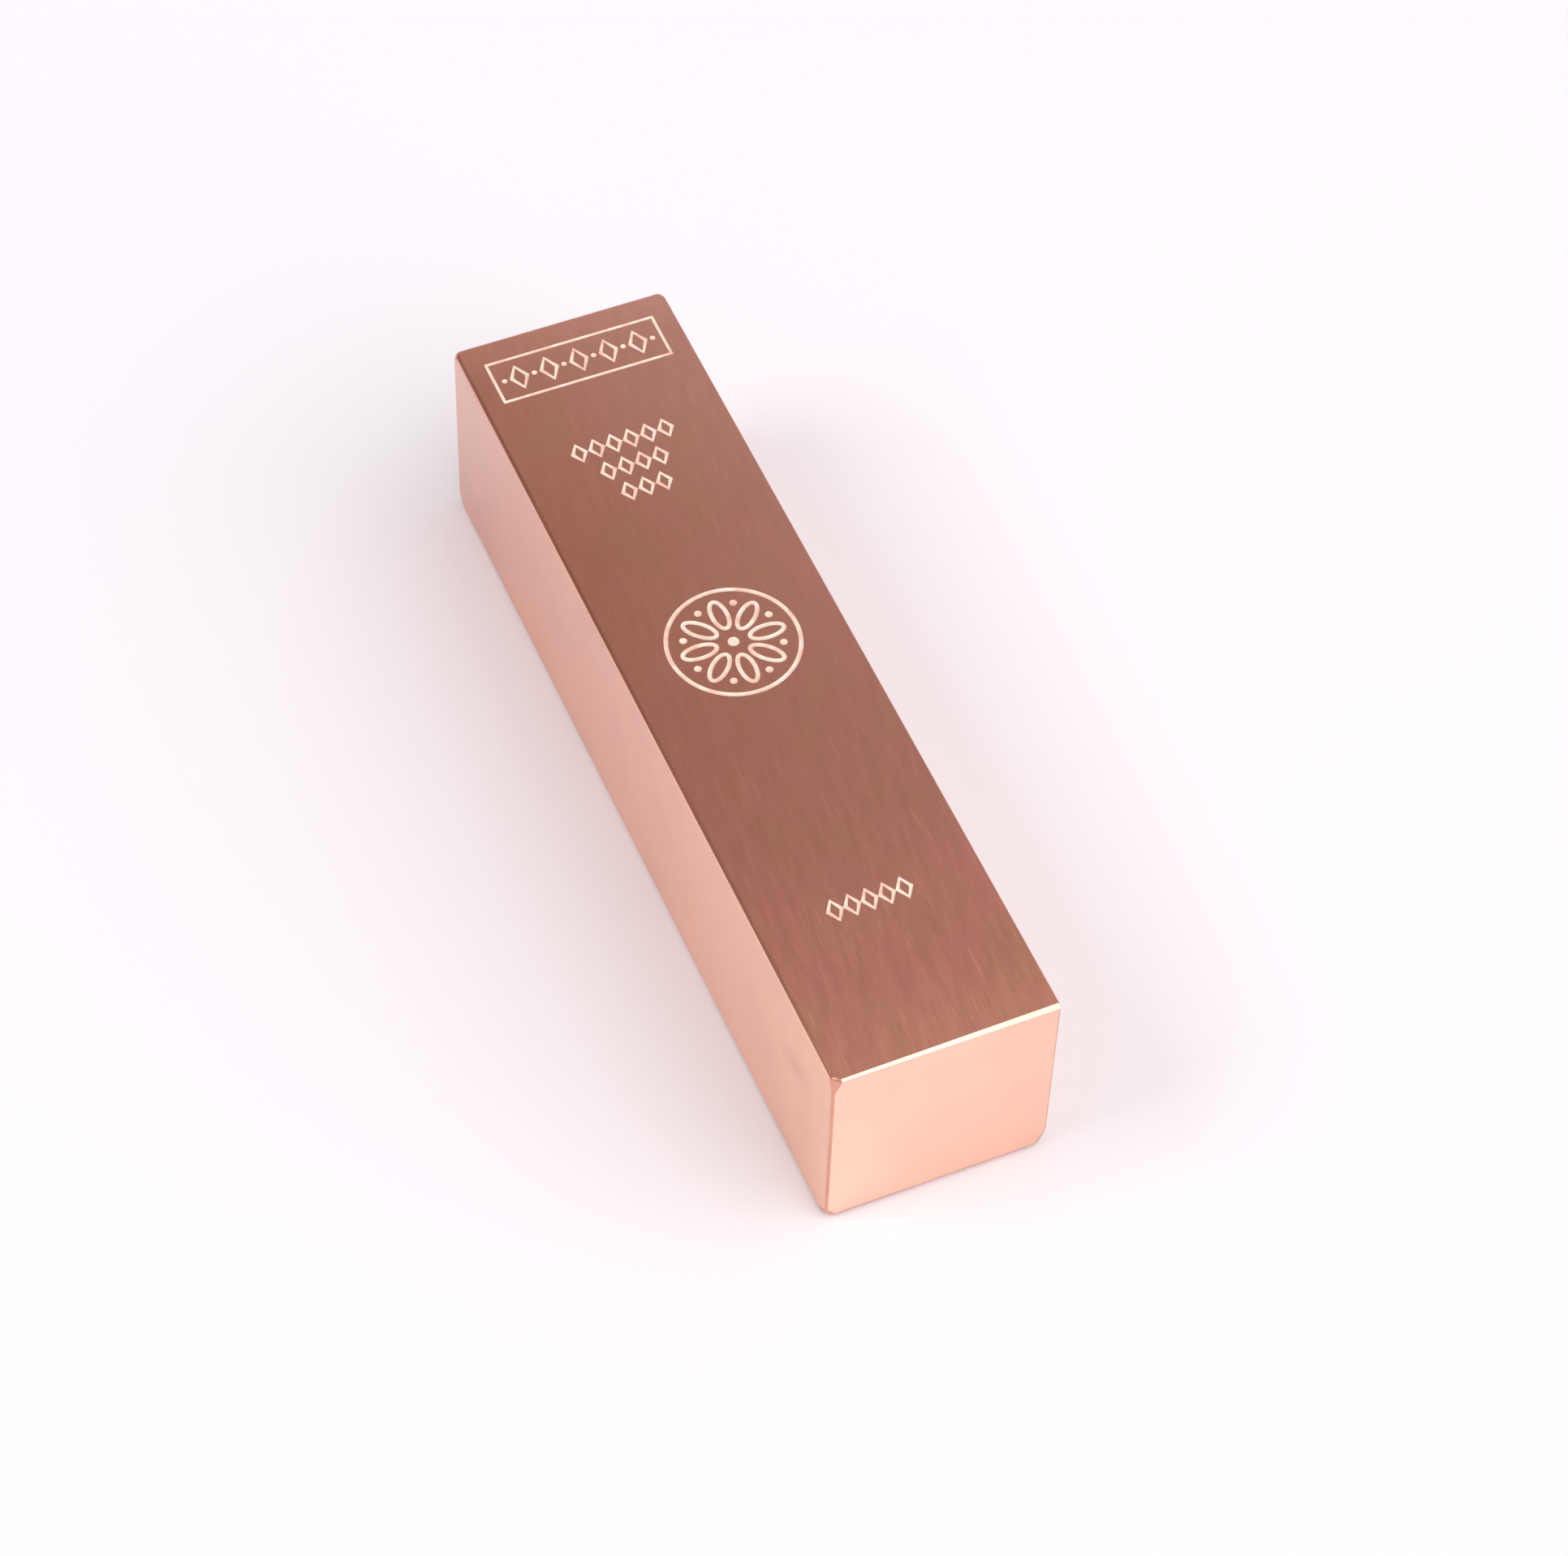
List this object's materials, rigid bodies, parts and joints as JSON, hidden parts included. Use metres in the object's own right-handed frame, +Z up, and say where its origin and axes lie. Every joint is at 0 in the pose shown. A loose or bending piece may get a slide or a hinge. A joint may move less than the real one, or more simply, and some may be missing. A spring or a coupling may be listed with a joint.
{
  "type": "copper ingot",
  "caption": "Straight square bar of solid copper with softly rounded edges and eased corners, lying on one long face with its engraved face up.",
  "frame": {"origin": "middle of the face that the bar lies on", "axes": "+Y along the bar's length, +X across its width, +Z up out of its engraved top face"},
  "size_m": [0.0298, 0.126, 0.0298],
  "materials": {
    "copper": "brushed on the top face, satin on the sides and ends"
  },
  "bodies": {
    "root": {"ingot": "copper"}
  },
  "joints": []
}
